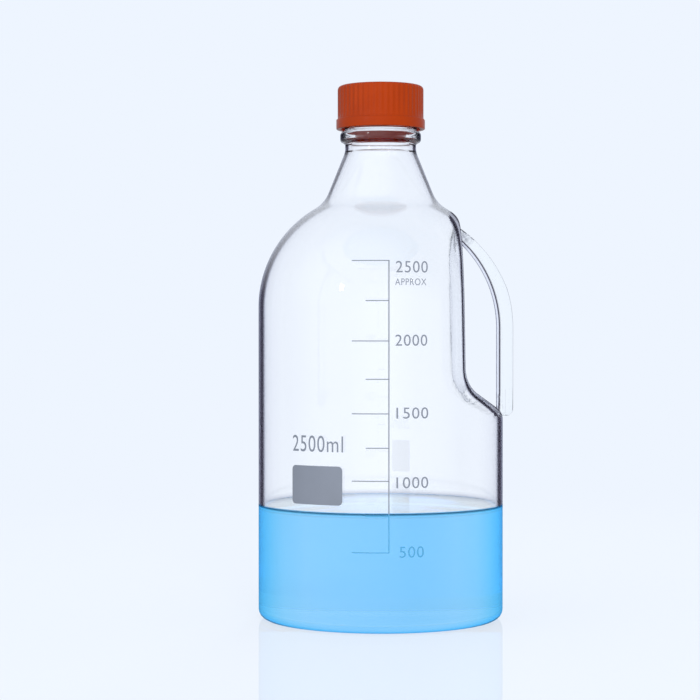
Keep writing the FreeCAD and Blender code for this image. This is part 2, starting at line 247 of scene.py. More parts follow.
def recalculated(bm):
    # faces outwards, whatever the operators left
    bmesh.ops.recalc_face_normals(bm, faces=bm.faces[:])
    if bm.calc_volume(signed=True) < 0:
        bmesh.ops.reverse_faces(bm, faces=bm.faces[:])
    return bm


def combined(target, tool, operation):
    # the target's mesh after a boolean with the tool, which is deleted
    step = target.modifiers.new("join", "BOOLEAN")
    step.operation = operation
    step.solver = "MANIFOLD"
    step.object = tool
    bpy.context.view_layer.update()
    depsgraph = bpy.context.evaluated_depsgraph_get()
    mesh = bpy.data.meshes.new_from_object(target.evaluated_get(depsgraph))
    target.modifiers.clear()
    target.data = mesh
    bpy.data.objects.remove(tool)
    return target


def cornerOf(lineA, lineB):
    # where two lines in the XZ plane meet
    ends = [Vector((x, 0, z)) for x, z in (*lineA, *lineB)]
    meeting = intersect_line_line(*ends)[0]
    return meeting.x, meeting.z


def shifted(line, inset):
    # a line moved inwards, to the left of its own direction
    (x0, z0), (x1, z1) = line
    length = math.hypot(x1 - x0, z1 - z0)
    dx, dz = -(z1 - z0) / length * inset, (x1 - x0) / length * inset
    return (x0 + dx, z0 + dz), (x1 + dx, z1 + dz)


liquid = {
    "level": 0.0647,
    "reach": 0.0003,  # short of the outer skin: liquid seems to fill the wall that it wets
    "wallDrop": 0.0009,
    "climb": 0.0002,
    "edge": 0.0001,
    "meniscus": 0.0002,
    "lineDepth": 0.003,
    "run": 0.003,
    "arc": 0.0002,
    "steps": 192,
}

bottle = {
    "radius": 0.069,
    "wall": 0.0030,
    "cornerHeight": 0.2114,
    "shoulderRound": 0.0645,
    "coneFoot": (0.03165, 0.23438),
    "coneFootRound": 0.0177,
    "neckCorner": (0.020, 0.26314),
    "neckRootRound": 0.010,
    "heelRound": 0.0055,
    "heelStart": 0.008,  # outwards of the ring's edge
    "heelHeights": (0.0002, 0.0065),
    "floor": 0.0056,
    "punt": 0.0008,
    "ringEdge": 0.055,
    "ringRound": 0.001,
    "puntRound": 0.34,
    "puntShare": 0.97,
    "wallRing": 0.145,
    "boreRadius": 0.015,
    "throatRadius": 0.0167,
    "throatTop": 0.2688,
    "throatRounds": [0.003, 0.002, 0.003, 0.001],
    "beadBottom": 0.26754,
    "beadTop": 0.27504,
    "beadRadius": 0.0228,
    "beadSlope": 0.0012,
    "beadRounds": [0.0015, 0.0021, 0.0021, 0.001, 0.002],
    "finishRadius": 0.0204,
    "lipHeight": 0.29584,
    "lipMiddle": 0.0172,
    "run": 0.0019,
    "arc": 0.0017,
    "steps": 224,
}


def puntRounding(ringEdge):
    # how round the base is between its flat middle and the ring that it stands on
    angle = math.asin(ringEdge / bottle["puntRound"])
    return ringEdge / 2 / math.tan(angle / 2) * bottle["puntShare"]


def bodySkin(inset):
    # One skin of the wall, from the pole of the base up to the middle of the lip. An inset
    # of the wall's thickness gives the inner skin.
    size = bottle
    radius = size["radius"] - inset
    wallLine = ((radius, 0), (radius, 0.1))
    flank = shifted(((size["radius"], size["cornerHeight"]), size["coneFoot"]), inset)
    cone = shifted((size["coneFoot"], size["neckCorner"]), inset)
    throat = size["throatRadius"] if inset else size["neckCorner"][0]
    throatLine = ((throat, 0), (throat, 0.1))
    base = size["floor"] if inset else 0
    ringEdge = size["ringEdge"] - inset
    corners = [
        (0, base + size["punt"]),
        (ringEdge / 2, base + size["punt"]),
        (ringEdge, base),
        (radius, base),
        (radius, liquid["level"]),
        (radius, recess["low"]),
        (radius, size["wallRing"]),
        cornerOf(wallLine, flank),
        cornerOf(flank, cone),
        cornerOf(cone, throatLine),
    ]
    rounds = [
        puntRounding(ringEdge),
        size["ringRound"],
        size["heelRound"],
        0,
        0,
        0,
        size["shoulderRound"] - inset,
        size["coneFootRound"] + inset,
    ]
    if inset:
        corners += [
            (throat, size["throatTop"]),
            (size["boreRadius"], size["beadTop"]),
            (size["boreRadius"], size["lipHeight"]),
            (size["lipMiddle"], size["lipHeight"]),
        ]
        rounds += size["throatRounds"]
    else:
        corners += [
            (throat, size["beadBottom"]),
            (size["beadRadius"], size["beadBottom"] + size["beadSlope"]),
            (size["beadRadius"], size["beadTop"] - size["beadSlope"]),
            (size["finishRadius"], size["beadTop"]),
            (size["finishRadius"], size["lipHeight"]),
            (size["lipMiddle"], size["lipHeight"]),
        ]
        rounds += [size["neckRootRound"], *size["beadRounds"]]
    bm = bmesh.new()
    roundedPath(bm, corners, rounds, size["run"], size["arc"])
    spinAll(bm, size["steps"])
    return bm


recess = {
    "floorX": 0.0459,
    "wall": 0.0019,  # blown thinner than the body
    "lean": math.radians(1.0),
    "cornerHeight": 0.1325,
    "slope": math.atan2(16.2, 23.1),
    "cornerRound": 0.0177,
    "sideRound": 0.028,
    "topRound": 0.009,
    "lipRound": 0.007,
    "sideReach": 0.048,
    "middleHeight": 0.155,
    "low": 0.100,
    "high": 0.235,
    "nearestX": 0.018,
}


def recessFloor(height, inset):
    # where the recess's floor is at a height, and its outward normal there
    lean, slope, cornerRound = recess["lean"], recess["slope"], recess["cornerRound"]
    reach = cornerRound + inset
    corner = (recess["floorX"], recess["cornerHeight"])
    upright = (corner, (corner[0] - math.sin(lean), corner[1] + math.cos(lean)))
    outward = (corner, (corner[0] - math.cos(slope), corner[1] + math.sin(slope)))
    centreX, centreZ = cornerOf(shifted(upright, -cornerRound), shifted(outward, -cornerRound))
    upperX, upperZ = centreX - reach * math.cos(lean), centreZ - reach * math.sin(lean)
    lowerX, lowerZ = centreX - reach * math.sin(slope), centreZ - reach * math.cos(slope)
    if height >= upperZ:
        return upperX - (height - upperZ) * math.tan(lean), Vector((math.cos(lean), 0, math.sin(lean)))
    if height <= lowerZ:
        return lowerX + (lowerZ - height) / math.tan(slope), Vector((math.sin(slope), 0, math.cos(slope)))
    across = math.sqrt(reach ** 2 - (centreZ - height) ** 2)
    return centreX - across, Vector((across, 0, centreZ - height)).normalized()


def pressRecess(bm, inset):
    # moves the skin in along its radius to the recess's floor, with a rounded rim between
    bm.normal_update()
    for vertex in bm.verts:
        x, y, z = vertex.co
        if x < recess["nearestX"] or not recess["low"] < z < recess["high"]:
            continue
        floorX, floorNormal = recessFloor(z, inset)
        reach = math.hypot(x, y)
        depth = floorX * reach / x
        normal = vertex.normal.copy()
        if normal.x * x + normal.y * y < 0:
            normal.negate()
        share = min(1, abs(y) / recess["sideReach"])
        end = recess["lipRound"] if z < recess["middleHeight"] else recess["topRound"]
        rim = end + (recess["sideRound"] - end) * share - inset * (0.5 + 0.5 * share)
        rim *= max(0.001, 1 - normal.dot(floorNormal))
        gap = (reach - depth) / 2
        if gap <= -rim / 2:
            continue
        pressed = depth
        vertex.tag = True
        if gap < rim / 2:
            pressed = (reach + depth) / 2 - rim + math.sqrt(rim ** 2 / 2 - gap ** 2)
        vertex.co.x *= pressed / reach
        vertex.co.y *= pressed / reach


outline = {
    "bending": 1.47,
    "upright": (0.1, 0.9),
    "neckHeights": (0.235, 0.262),
    "neckShare": 1.4,
    "flatTurn": (0.04, 0.20),
    "waves": {"Scale": 22.0, "Detail": 1.0, "Roughness": 0.4},
    "waveStrength": 0.10,
    "waveDepth": 0.0006,
    "meltPoints": [(0.0455, 0, 0.2165), (0.0615, 0, 0.1185)],
    "meltReach": (0.0042, 0.0105),
    "meltDepth": 0.0012,
    "tangle": {"Scale": 150.0, "Detail": 1.0, "Distortion": 0.8},
    "paintedSeamStops": [
        (0.40, (1, 1, 1)),
        (0.45, (0.25, 0.25, 0.30)),
        (0.49, (0.95, 0.95, 1)),
        (0.54, (0.30, 0.30, 0.36)),
        (0.60, (1, 1, 1)),
    ],
}
clearTint = (0.996, 0.996, 0.998)
handleTint = (0.955, 0.968, 0.968)
# painted shade: glass outline colours, from edge on towards the clear middle
paintedWallShade = [
    (0.00, (0.42, 0.43, 0.52)),
    (0.25, (0.22, 0.22, 0.28)),
    (0.33, (0.07, 0.06, 0.09)),
    (0.45, (0.08, 0.075, 0.10)),
    (0.50, (0.45, 0.45, 0.51)),
    (0.55, (0.78, 0.78, 0.83)),
    (0.63, (0.87, 0.87, 0.90)),
    (0.78, (0.95, 0.95, 0.97)),
    (1.00, clearTint),
]
# painted shade: a dark line near the handle bar's inner corner
paintedCornerShade = [
    (0.00, (0.30, 0.30, 0.36)),
    (0.06, (0.45, 0.45, 0.55)),
    (0.10, (0.88, 0.88, 0.97)),
    (0.32, (0.90, 0.90, 0.97)),
    (0.36, (0.08, 0.07, 0.10)),
    (0.40, (0.12, 0.11, 0.14)),
    (0.45, clearTint),
]
# painted shade: the recess wall's double dark outline
paintedRecessShade = [
    (0.00, (0.30, 0.30, 0.35)),
    (0.17, (0.12, 0.11, 0.14)),
    (0.21, (0.50, 0.50, 0.56)),
    (0.30, (0.48, 0.48, 0.54)),
    (0.34, (0.06, 0.055, 0.075)),
    (0.44, (0.07, 0.065, 0.09)),
    (0.50, (0.80, 0.80, 0.86)),
    (0.56, clearTint),
]
# painted shade tinted blue: the outline of glass over the liquid, standing in for its blue bent in at the
# edges
paintedWettedShade = [
    (0.00, (0.10, 0.40, 0.60)),
    (0.07, (0.14, 0.50, 0.75)),
    (0.14, (0.24, 0.70, 0.92)),
    (0.20, (0.40, 0.81, 0.95)),
    (0.24, (0.55, 0.87, 0.96)),
    (0.31, (0.82, 0.96, 0.99)),
    (0.39, (1.00, 1.00, 1.00)),
]
# painted shade: a dark band just under the liquid's level on the outer glass
paintedLevelShade = [
    (0.00, (1.00, 1.00, 1.00)),
    (0.13, (1.00, 0.92, 0.90)),
    (0.30, (0.88, 0.90, 0.90)),
    (0.50, (0.90, 0.97, 0.97)),
    (0.66, (0.34, 0.55, 0.59)),
    (0.83, (0.15, 0.23, 0.28)),
    (1.00, (0.18, 0.25, 0.30)),
]
# painted shade: a grey line at the liquid's level on the inner glass
paintedBackShade = [
    (0.00, (0.58, 0.59, 0.64)),
    (0.15, (0.66, 0.67, 0.72)),
    (0.50, (0.86, 0.86, 0.89)),
    (1.00, (1.00, 1.00, 1.00)),
]
# painted shade: a soft grey outline on the recess's inner side
paintedSoftShade = [
    (0.00, (0.76, 0.77, 0.83)),
    (0.40, (0.85, 0.86, 0.90)),
    (0.70, (0.93, 0.94, 0.96)),
    (1.00, clearTint),
]


def wettedMaterial():
    # the wall's inner side under the liquid bends no light, because the liquid fills it
    material = emptyMaterial("wettedGlass")
    clearSide = addNode(material, "BsdfTransparent", (0, 0), {"Color": (1, 1, 1, 1)})
    addNode(material, "OutputMaterial", (250, 0), {"Surface": clearSide.outputs["BSDF"]})
    return material


# each glass paints shade into its colour from one of the outline ramps above
glassKinds = {
    "outside": glassMaterial("bodyGlass", clearTint, paintedWallShade, 0.30, tilted=0.35),
    "inside": glassMaterial("innerGlass", clearTint, paintedWallShade, 0.06, tilted=0.25, lineStops=paintedBackShade),
    "handle": glassMaterial("handleGlass", handleTint, paintedWallShade, 0.30, tilted=0.6),
    "handleCorner": glassMaterial("handleCornerGlass", clearTint, paintedCornerShade, 1.0),
    "wettedInside": wettedMaterial(),
    "recess": glassMaterial("recessGlass", clearTint, paintedRecessShade, 0.36, flatShare=0.12),
    "wettedOutside": glassMaterial(
        "wettedWall", clearTint, paintedWettedShade, 1.0, lineStops=paintedLevelShade, lineBase=-liquid["lineDepth"]),
    "recessInside": glassMaterial("recessInside", clearTint, paintedSoftShade, 0.12),
    "heel": glassMaterial("heelGlass", clearTint, paintedWettedShade, 1.0, straightOut=True),
}
kindIndex = {kind: number for number, kind in enumerate(glassKinds)}

thread = {
    "pitch": 0.004,
    "steps": 72,
    "fade": 40 / 360,
    "fadeDip": 0.15,
    "sink": 0.0006,
    "neck": {
        "root": 0.0204,
        "crest": 0.0221,
        "widths": (0.0026, 0.0012),
        "start": 0,
        "turns": 1.6,
        "height": 0.28624,
    },
    "cap": {
        "root": 0.02245,
        "crest": 0.0210,
        "widths": (0.0015, 0.0007),
        "start": math.radians(-60),
        "turns": 1.55,
        "height": 0.28382,
    },
}

handle = {
    "outerX": 0.0746,
    "thickness": 0.009,
    "halfWidth": 0.0065,
    "outerRound": 0.0015,
    "innerRound": 0.0044,
    "bendHeight": 0.1637,
    "bendRadius": 0.075,
    "bendAngle": math.radians(56),
    "bendSteps": 30,
    "taper": 0.38,  # thinner where it meets the shoulder
    "taperFrom": 0.3,
    "cornerFrom": 0.15,
    "rises": (0.3, 0.3, 0.4),
    "foot": 0.1143,
    "footRound": 0.004,
    "run": 0.003,
    "arc": 0.0007,
}


def handleSection(bm, inner, middle):
    # the bar's rounded section, flat at the height of its foot
    size = handle
    half = size["halfWidth"]
    corners = [
        (middle, half),
        (size["outerX"], half),
        (size["outerX"], -half),
        (inner, -half),
        (inner, half),
        (middle, half),
    ]
    rounds = [size["outerRound"], size["outerRound"], size["innerRound"], size["innerRound"]]
    roundedPath(bm, corners, rounds, size["run"], size["arc"])
    bmesh.ops.remove_doubles(bm, verts=bm.verts[:], dist=1e-6)
    section = bmesh.ops.contextual_create(bm, geom=bm.edges[:])["faces"]
    bmesh.ops.rotate(bm, verts=bm.verts[:], cent=(0, 0, 0), matrix=Matrix.Rotation(math.pi / 2, 3, "X"))
    bmesh.ops.translate(bm, verts=bm.verts[:], vec=(0, 0, size["foot"]))
    return section[0]


def taperHandle(bm, centre):
    # the bar thins on its outside along the bend
    size = handle
    innerReach = size["bendRadius"] - size["thickness"]
    for vertex in bm.verts:
        across, rise = vertex.co.x - centre[0], vertex.co.z - centre[2]
        along = math.atan2(rise, across) / size["bendAngle"] if rise > 0 else 0
        if along <= size["taperFrom"]:
            continue
        reach = math.hypot(across, rise)
        amount = size["taper"] * max(0, min(1, (along - size["taperFrom"]) / (1 - size["taperFrom"])))
        thinned = innerReach + (reach - innerReach) * (1 - amount)
        vertex.co.x = centre[0] + across * thinned / reach
        vertex.co.z = centre[2] + rise * thinned / reach


def handleBar():
    # a rounded section, extruded up from the foot and spun on into the shoulder
    size = handle
    inner = size["outerX"] - size["thickness"]
    middle = (inner + size["outerX"]) / 2
    bm = bmesh.new()
    last = handleSection(bm, inner, middle)
    for rise in size["rises"]:
        made = bmesh.ops.extrude_face_region(bm, geom=[last])["geom"]
        last = [part for part in made if isinstance(part, bmesh.types.BMFace)][0]
        lift = (size["bendHeight"] - size["foot"]) * rise
        bmesh.ops.translate(bm, verts=last.verts[:], vec=(0, 0, lift))
    centre = (size["outerX"] - size["bendRadius"], 0, size["bendHeight"])
    bmesh.ops.spin(
        bm, geom=[last] + last.edges[:] + last.verts[:], cent=centre, axis=(0, 1, 0),
        angle=-size["bendAngle"], steps=size["bendSteps"], use_merge=False, use_duplicate=False)
    openSections(bm)
    taperHandle(bm, centre)
    lowest = {vertex for vertex in bm.verts if abs(vertex.co.z - size["foot"]) < 1e-5}
    toe = {vertex for vertex in lowest if vertex.co.x > middle}
    footEdges = [edge for edge in bm.edges if all(vertex in toe for vertex in edge.verts)]
    bmesh.ops.bevel(
        bm, geom=footEdges, affect="EDGES", offset=size["footRound"], offset_type="OFFSET",
        segments=6, profile=0.5, material=-1)
    recalculated(bm)
    # faces turned in at the bar's sides take the glass with a painted dark corner line
    for face in bm.faces:
        place = face.calc_center_median()
        away = Vector((place.x - centre[0], 0, max(0, place.z - centre[2]))).normalized()
        facesIn = -face.normal.dot(away) > size["cornerFrom"]
        corner = facesIn and abs(face.normal.y) > size["cornerFrom"]
        face.material_index = kindIndex["handleCorner" if corner else "handle"]
    return bm


def glassKind(face, inner):
    # which of the glasses a face of the outer or the inner skin has
    middle = face.calc_center_median()
    outOnBase = math.hypot(middle.x, middle.y) > bottle["ringEdge"] + bottle["heelStart"]
    low, high = bottle["heelHeights"]
    if not inner and outOnBase and low < middle.z < high:
        return "heel"
    if middle.z < liquid["level"]:
        return "wettedInside" if inner else "wettedOutside"
    if all(vertex.tag for vertex in face.verts):
        return "recessInside" if inner else "recess"
    return "inside" if inner else "outside"


def glassWall():
    # outer and inner skin, pressed in at the recess and welded at the lip
    whole = bmesh.new()
    for inset, pressed in ((0, 0), (bottle["wall"], recess["wall"])):
        skin = bodySkin(inset)
        pressRecess(skin, pressed)
        for face in skin.faces:
            face.material_index = kindIndex[glassKind(face, inset > 0)]
        part = bpy.data.meshes.new("skin")
        skin.to_mesh(part)
        skin.free()
        whole.from_mesh(part)
        bpy.data.meshes.remove(part)
    bmesh.ops.remove_doubles(whole, verts=whole.verts[:], dist=2e-6)
    return recalculated(whole)


def middleWall():
    # a solid up to the middle of the wall, which keeps the handle out of the cavity
    bm = bodySkin(bottle["wall"] / 2)
    pressRecess(bm, recess["wall"] / 2)
    rim = [edge for edge in bm.edges if edge.is_boundary]
    bmesh.ops.contextual_create(bm, geom=rim)
    return recalculated(bm)


def threadRidge(root, crest, widths, start, turns, height):
    # a helical ridge spun from its section, whose ends fade into the surface at its foot
    foot = root + math.copysign(thread["sink"], root - crest)
    footHalf, crestHalf = widths[0] / 2, widths[1] / 2
    bm = bmesh.new()
    for radius, rise in ((foot, -footHalf), (crest, -crestHalf), (crest, crestHalf), (foot, footHalf)):
        bmesh.ops.create_vert(bm, co=(radius, 0, height + rise))
    section = bmesh.ops.contextual_create(bm, geom=bm.verts[:])["faces"]
    steps = round(turns * thread["steps"])
    climb = thread["pitch"] * turns / steps
    bmesh.ops.spin(
        bm, geom=section + section[0].edges[:] + section[0].verts[:], cent=(0, 0, 0), axis=(0, 0, 1),
        dvec=(0, 0, climb), angle=math.tau * turns, steps=steps, use_merge=False, use_duplicate=False)
    openSections(bm)
    for vertex in bm.verts:
        around = math.atan2(vertex.co.y, vertex.co.x) / math.tau
        along = around + round((vertex.co.z - height) / thread["pitch"] - around)
        fade = max(0, min(1, along / thread["fade"], (turns - along) / thread["fade"]))
        reach = math.hypot(vertex.co.x, vertex.co.y)
        if abs(reach - foot) < 1e-6:
            continue
        raised = (1 + thread["fadeDip"]) * math.sin(fade * math.pi / 2) - thread["fadeDip"]
        faded = root + (crest - root) * raised
        vertex.co.x *= faded / reach
        vertex.co.y *= faded / reach
    bmesh.ops.rotate(bm, verts=bm.verts[:], cent=(0, 0, 0), matrix=Matrix.Rotation(start, 3, "Z"))
    return recalculated(bm)


allGlass = list(glassKinds.values())
wall = meshObject("bottle_glass", glassWall(), allGlass)
bar = meshObject("bar", handleBar(), allGlass)
combined(bar, meshObject("middle", middleWall(), allGlass), "DIFFERENCE")
combined(wall, bar, "UNION")
combined(wall, meshObject("ridge", threadRidge(**thread["neck"]), allGlass), "UNION")
shadeSmooth(wall)
placePiece(wall, "bottle", "bottle")
print("glass", len(wall.data.polygons), "faces")

water = {
    "tint": (0.99, 0.995, 1, 1),
    "depthTint": (0.04, 0.71, 0.993, 1),
    "density": 11.0,
    "mirrorTint": (0.93, 1, 1, 1),
    "mirrorTurn": (0.75, 0.93),
    "mirrorShare": 0.6,
}


def liquidMaterial(name, ior, mirrored=False):
    # coloured water: the colour is in its depth
    material = emptyMaterial(name)
    clearWater = {"Color": water["tint"], "Roughness": 0.0, "IOR": ior}
    shown = addNode(material, "BsdfGlass", (0, 100), clearWater).outputs["BSDF"]
    blue = {"Color": water["depthTint"], "Density": water["density"]}
    depth = addNode(material, "VolumeAbsorption", (0, -100), blue).outputs["Volume"]
    if mirrored:  # lies nearly edge on to most viewers, and mirrors more there
        facing = addNode(material, "LayerWeight", (-500, 300), {"Blend": 0.5}).outputs["Facing"]
        amount = rangeNode(material, (-300, 300), facing, water["mirrorTurn"], (0.0, water["mirrorShare"]))
        gloss = {"Color": water["mirrorTint"], "Roughness": 0.0}
        mirror = addNode(material, "BsdfGlossy", (-100, 300), gloss).outputs["BSDF"]
        shown = addNode(material, "MixShader", (150, 200), {0: amount, 1: shown, 2: mirror}).outputs["Shader"]
    addNode(material, "OutputMaterial", (350, 0), {"Surface": shown, "Volume": depth})
    return material


def liquidBody():
    # a spun body that fills the wetted wall, with a narrow edge where it touches the glass
    size = liquid
    radius = bottle["radius"] - size["reach"]
    inside = bottle["radius"] - bottle["wall"]
    ringEdge = bottle["ringEdge"]
    corners = [
        (0, size["reach"] + bottle["punt"]),
        (ringEdge / 2, size["reach"] + bottle["punt"]),
        (ringEdge, size["reach"]),
        (radius, size["reach"]),
        (radius, size["level"] - size["wallDrop"]),
        (inside + size["edge"], size["level"] - size["wallDrop"]),
        (inside - size["edge"], size["level"] + size["climb"]),
        (inside - 2 * size["edge"], size["level"]),
        (0, size["level"]),
    ]
    heelRound = bottle["heelRound"] - size["reach"]
    rounds = [puntRounding(ringEdge), bottle["ringRound"], heelRound, 0, 0, 0, size["meniscus"]]
    bm = bmesh.new()
    roundedPath(bm, corners, rounds, size["run"], size["arc"])
    spinAll(bm, size["steps"])
    recalculated(bm)
    for face in bm.faces:
        middle = face.calc_center_median()
        lying = middle.z > bottle["heelRound"] and face.normal.z > 0.2
        openTop = lying and math.hypot(middle.x, middle.y) < inside - 1.5 * size["edge"]
        face.material_index = 1 if openTop else 0
    return bm


waterKinds = [liquidMaterial("wallLiquid", 1.0), liquidMaterial("openLiquid", 1.33, mirrored=True)]
blueWater = meshObject("blue_water", liquidBody(), waterKinds)
shadeSmooth(blueWater)
placePiece(blueWater, "bottle", "liquid")
print("liquid", len(blueWater.data.polygons), "faces")

plastic = {
    "mottle": {"Scale": 60.0, "Detail": 4.0},
    "mottleStops": (0.3, 0.7),
    "grain": {"Scale": 2600.0, "Detail": 2.0},
    "grainStrength": 0.15,
    "grainDepth": 0.00004,
    "roughSpread": (-0.05, 0.08),
    "sheen": {"IOR": 1.5, "Specular IOR Level": 0.08},
    "paintedBlueFade": 0.0006,
}


def plasticMaterial(name, colours, roughness, glow=None, paintedLiquidBlue=None):
    # moulded plastic: slight mottle, fine grain, a soft sheen, and, where given, a painted glow
    material = emptyMaterial(name)
    light, dark = colours
    place = addNode(material, "TexCoord", (-1200, 0)).outputs["Object"]
    mottle = addNode(material, "TexNoise", (-950, 150), {"Vector": place, **plastic["mottle"]}).outputs["Fac"]
    grain = addNode(material, "TexNoise", (-950, -200), {"Vector": place, **plastic["grain"]}).outputs["Fac"]
    colour = rampNode(material, (-700, 150), mottle, list(zip(plastic["mottleStops"], (dark, light))))
    roughEnds = [roughness + spread for spread in plastic["roughSpread"]]
    rough = rangeNode(material, (-700, -60), mottle, (0.0, 1.0), roughEnds)
    grained = {"Height": grain, "Strength": plastic["grainStrength"], "Distance": plastic["grainDepth"]}
    bump = addNode(material, "Bump", (-450, -250), grained).outputs["Normal"]
    if paintedLiquidBlue:  # painted light: print under the liquid's level takes the blue of the liquid behind it
        height = addNode(material, "SeparateXYZ", (-950, 400), {"Vector": place}).outputs["Z"]
        levels = (liquid["level"] - plastic["paintedBlueFade"], liquid["level"])
        aboveLevel = rangeNode(material, (-700, 400), height, levels)
        colour = mixNode(material, (-400, 300), aboveLevel, (*paintedLiquidBlue, 1), colour)
    inputs = {"Base Color": colour, "Roughness": rough, "Normal": bump, **plastic["sheen"]}
    # painted light: an emission glow standing in for light reaching the plastic
    if glow:
        inputs.update({"Emission Color": (*glow, 1), "Emission Strength": 1.0})
    shader = addNode(material, "BsdfPrincipled", (-150, 100), inputs).outputs["BSDF"]
    addNode(material, "OutputMaterial", (200, 100), {"Surface": shader})
    return material


cap = {
    "bore": 0.02245,
    "bottom": 0.27584,
    "bandRadius": 0.02505,
    "bandTop": 0.28144,
    "ribRadius": 0.02425,
    "ceiling": 0.29859,
    "top": 0.30029,
    "rounds": [0.001, 0.0003, 0.0005, 0.0005, 0.0002],
    "topRound": 0.0022,
    "ribs": 48,
    "ribSteps": 8,
    "ribDepth": 0.00038,
    "ribStart": 0.0002,
    "ribRise": 0.0004,
    "slack": 0.0001,
    "run": 0.003,
    "arc": 0.00045,
}


def ribShare(reach, height):
    # how deep the ribs are at a place on the cap: full on its side, none inside or below
    size = cap
    insideBore = height < size["ceiling"] and reach < size["bore"] + size["slack"]
    if insideBore or reach <= size["bore"] - 5 * size["slack"]:
        return 0
    low = (height - size["bandTop"] - size["ribStart"]) / size["ribRise"]
    rim = (reach - size["ribRadius"] + size["topRound"]) / size["topRound"]
    return max(0, min(1, low)) * max(0, min(1, rim))


def screwCap():
    # a hollow cap: smooth band below, softly waved ribs above
    size = cap
    corners = [
        (0, size["ceiling"]),
        (size["bore"], size["ceiling"]),
        (size["bore"], size["bottom"]),
        (size["bandRadius"], size["bottom"]),
        (size["bandRadius"], size["bandTop"]),
        (size["ribRadius"], size["bandTop"]),
        (size["ribRadius"], size["top"]),
        (0, size["top"]),
    ]
    bm = bmesh.new()
    roundedPath(bm, corners, [*size["rounds"], size["topRound"]], size["run"], size["arc"])
    spinAll(bm, size["ribs"] * size["ribSteps"])
    for vertex in bm.verts:
        reach = math.hypot(vertex.co.x, vertex.co.y)
        wave = 0.5 - 0.5 * math.cos(size["ribs"] * math.atan2(vertex.co.y, vertex.co.x))
        moved = 1 - size["ribDepth"] * wave * ribShare(reach, vertex.co.z) / max(reach, 0.001)
        vertex.co.x *= moved
        vertex.co.y *= moved
    recalculated(bm)
    for face in bm.faces:
        middle = face.calc_center_median()
        within = math.hypot(middle.x, middle.y) < size["bore"] + size["slack"]
        # the bore's inside takes the plastic with the painted glow
        face.material_index = 1 if within and middle.z < size["ceiling"] + size["slack"] else 0
    return bm


orange = ((0.215, 0.0215, 0.0008), (0.195, 0.0185, 0.0006))
grey = ((0.125, 0.136, 0.160), (0.115, 0.125, 0.146))
orangePlastic = plasticMaterial("orangePlastic", orange, 0.34)
# painted light: the same orange with an emission glow, standing in for light reaching the cap's inside
paintedGlowPlastic = plasticMaterial("paintedGlowPlastic", orange, 0.4, glow=(0.085, 0.003, 0.0))
# painted light: under the liquid's level the print takes the liquid's blue
greyEnamel = plasticMaterial("greyEnamel", grey, 0.45, paintedLiquidBlue=(0.045, 0.175, 0.30))
shell = meshObject("screw_cap", screwCap(), [orangePlastic, paintedGlowPlastic])
shadeSmooth(shell, 50)
ridge = meshObject("ridge", threadRidge(**thread["cap"]), [paintedGlowPlastic])
shadeSmooth(ridge)
combined(shell, ridge, "UNION")
placePiece(shell, "cap", "cap")
# the hidden pouring ring and seal take the plastic with the painted glow
for nodeName in ("pouring_ring", "seal_disc"):
    nodes[nodeName].data.materials.clear()
    nodes[nodeName].data.materials.append(paintedGlowPlastic)
print("cap", len(shell.data.polygons), "faces")

printing = {
    "lift": 0.00003,
    "thickness": 0.00005,
    "lineX": 0.0034,
    "lineWidth": 0.00062,
    "markWidth": 0.00052,
    "longMark": 0.0196,
    "shortMark": 0.0121,
    "marks": (0.0439, 0.0633, 0.0820, 0.0996, 0.1179, 0.1363, 0.1567, 0.1782, 0.1995),
    "field": {"across": -0.0377, "height": 0.07915, "width": 0.0319, "tall": 0.0209, "corner": 0.0024},
    "bendStep": 0.0015,
    "letterSpacing": 1.1,
    "numbers": [
        # words, then centre and size in metres along the surface
        ("2500", 0.0159, 0.1962, 0.0176, 0.0062),
        ("2000", 0.0156, 0.1571, 0.0176, 0.0060),
        ("1500", 0.0162, 0.1183, 0.0176, 0.0060),
        ("1000", 0.0162, 0.0812, 0.0176, 0.0060),
        ("500", 0.0158, 0.0442, 0.0134, 0.0060),
        ("APPROX", 0.0153, 0.1882, 0.0172, 0.0036),
        ("2500ml", -0.0373, 0.1015, 0.0320, 0.0088),
    ],
}


def flatWords(words, width, tall):
    # letters as a flat sheet, centred and scaled to their size
    curve = bpy.data.curves.new("letters", "FONT")
    curve.body = words
    curve.space_character = printing["letterSpacing"]
    letters = bpy.data.objects.new("letters", curve)
    bpy.context.collection.objects.link(letters)
    bpy.context.view_layer.update()
    depsgraph = bpy.context.evaluated_depsgraph_get()
    flat = bpy.data.meshes.new_from_object(letters.evaluated_get(depsgraph))
    bpy.data.objects.remove(letters)
    bm = bmesh.new()
    bm.from_mesh(flat)
    bmesh.ops.remove_doubles(bm, verts=bm.verts[:], dist=1e-5)
    low = Vector([min(vertex.co[axis] for vertex in bm.verts) for axis in range(3)])
    high = Vector([max(vertex.co[axis] for vertex in bm.verts) for axis in range(3)])
    bmesh.ops.translate(bm, verts=bm.verts[:], vec=-(low + high) / 2)
    bmesh.ops.scale(bm, verts=bm.verts[:], vec=(width / (high.x - low.x), tall / (high.y - low.y), 1))
    return bm


def flatBar(width, tall, corner=0):
    # a flat rectangle, cut often enough to be rolled round the body
    bm = bmesh.new()
    bmesh.ops.create_grid(bm, x_segments=1, y_segments=1, size=0.5)
    bmesh.ops.scale(bm, verts=bm.verts[:], vec=(width, tall, 1))
    if corner:
        bmesh.ops.bevel(
            bm, geom=bm.verts[:], affect="VERTICES", offset=corner, segments=7, profile=0.5, material=-1)
    cuts = max(1, round(width / printing["bendStep"]))
    for cut in range(1, cuts):
        place = ((cut / cuts - 0.5) * width, 0, 0)
        whole = bm.verts[:] + bm.edges[:] + bm.faces[:]
        bmesh.ops.bisect_plane(bm, geom=whole, plane_co=place, plane_no=(1, 0, 0))
    return bm


